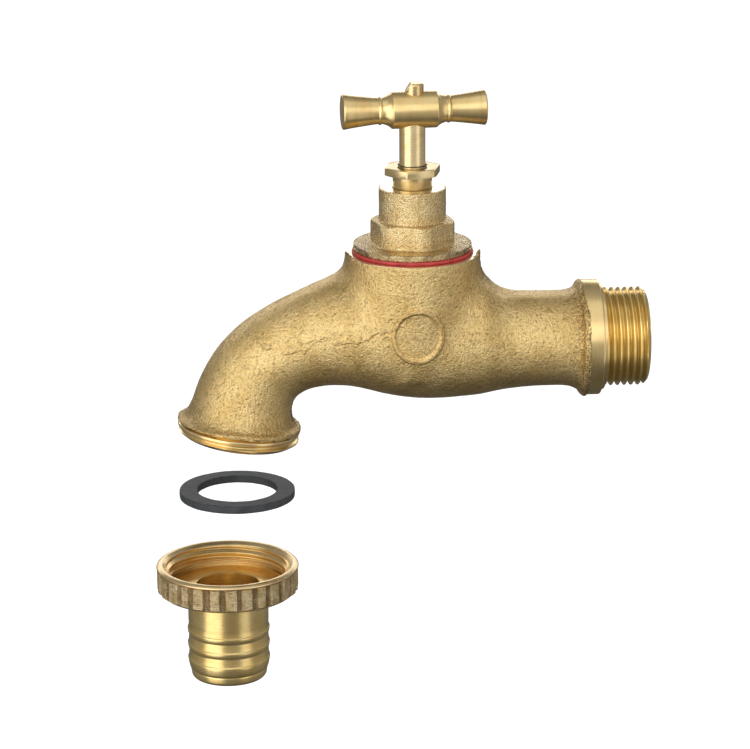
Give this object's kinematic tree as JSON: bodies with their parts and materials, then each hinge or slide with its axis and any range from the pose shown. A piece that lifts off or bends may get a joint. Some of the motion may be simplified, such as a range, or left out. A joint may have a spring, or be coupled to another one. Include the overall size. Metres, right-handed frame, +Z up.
{
  "type": "bibcock",
  "caption": "Cast brass bib tap with a tee handle, screwed bonnet, loose valve, curved spout, and a sealing washer and ribbed hose union shown taken off.",
  "frame": {"origin": "on the inlet thread's axis, where the thread starts beside the step ring", "axes": "+X leaves the inlet thread, +Z is up along the spindle, the spout lies on the -X side in the XZ plane"},
  "size_m": [0.1324, 0.0386, 0.1634],
  "materials": {
    "cast_brass": "sand cast, blasted, golden",
    "forged_brass": "forged, blasted",
    "turned_brass": "turned, bright",
    "red_fibre": "pressed fibre, dyed red",
    "black_rubber": "matt black rubber",
    "packing": "white sealing ring"
  },
  "bodies": {
    "tap_body": {"body_casting": "cast_brass", "bonnet": "forged_brass", "bonnet_gasket": "red_fibre", "packing_washer": "turned_brass", "gland_packing": "packing", "gland_nut": "turned_brass"},
    "valve": {"valve_jumper": "turned_brass", "valve_washer": "black_rubber", "washer_nut": "turned_brass"},
    "spindle": {"spindle": "turned_brass", "tee_handle": "turned_brass"},
    "hose_washer": {"hose_washer": "black_rubber"},
    "hose_tail": {"hose_tail": "turned_brass"},
    "union_nut": {"union_nut": "forged_brass"}
  },
  "joints": [
    {"name": "valve_rise", "type": "slide", "parent": "tap_body", "child": "valve", "axis": [0, 0, 1], "range_m": [0, 0.0056]},
    {"name": "handle_turn", "type": "hinge", "parent": "valve", "child": "spindle", "pos_m": [-0.05085, 0, 0.03], "axis": [0, 0, 1], "range_deg": [0, 806.5]},
    {"name": "washer_lift", "type": "hinge", "parent": "tap_body", "child": "hose_washer", "pos_m": [0.00473, 0, -0.0349], "axis": [0, 1, 0], "range_deg": [0, 8]},
    {"name": "union_lift", "type": "hinge", "parent": "tap_body", "child": "hose_tail", "pos_m": [0.18199, 0, -0.06886], "axis": [0, 1, 0], "range_deg": [0, 8]},
    {"name": "nut_spin", "type": "hinge", "parent": "hose_tail", "child": "union_nut", "pos_m": [-0.10138, 0, -0.06806], "axis": [0, 0, 1], "continuous": true}
  ],
  "couplings": [
    {"joint": "handle_turn", "follows": "valve_rise", "rad_per_m": 2513.3},
    {"joint": "washer_lift", "follows": "union_lift", "ratio": 1}
  ]
}
